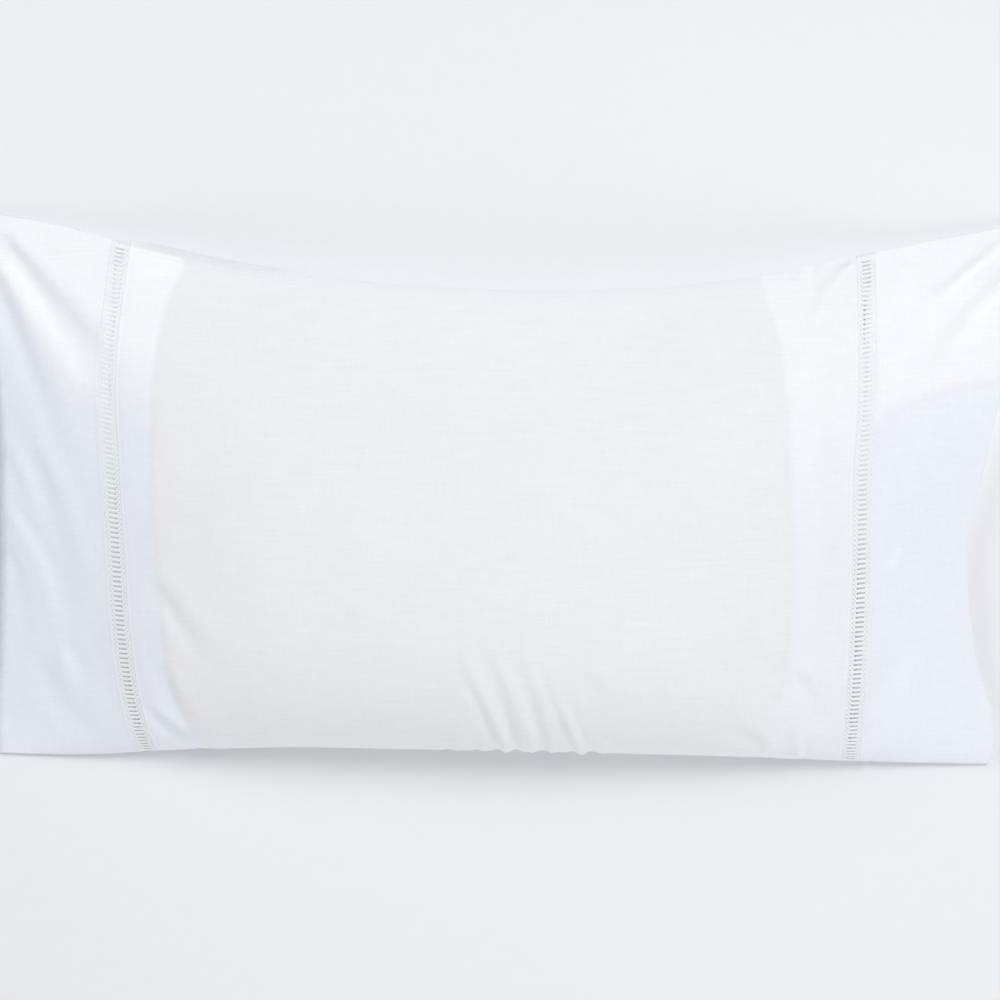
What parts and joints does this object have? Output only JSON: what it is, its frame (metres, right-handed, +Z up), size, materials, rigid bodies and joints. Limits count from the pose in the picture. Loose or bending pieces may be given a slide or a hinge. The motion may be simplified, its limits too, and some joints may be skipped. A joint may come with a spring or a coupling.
{
  "type": "pillowcase",
  "caption": "White cotton pillowcase over a bed pillow, lying on its back, with flat cuffs beyond ladder-lace bands and an open mouth at one end.",
  "frame": {"origin": "on the surface it lies on, under the middle of its bounding box", "axes": "+X along its length towards the open end, +Y across it towards the more drawn-in long edge, +Z up out of its face"},
  "size_m": [1.0093, 0.5455, 0.1495],
  "materials": {
    "body_cotton": "matt plain-weave cotton over the pillow",
    "cuff_cotton": "matt plain-weave cotton, two plies",
    "lace_cotton": "matt cotton ladder lace"
  },
  "bodies": {
    "root": {"body": "body_cotton", "lace_left": "lace_cotton", "lace_right": "lace_cotton", "cuff_left": "cuff_cotton", "cuff_right": "cuff_cotton"}
  },
  "joints": []
}
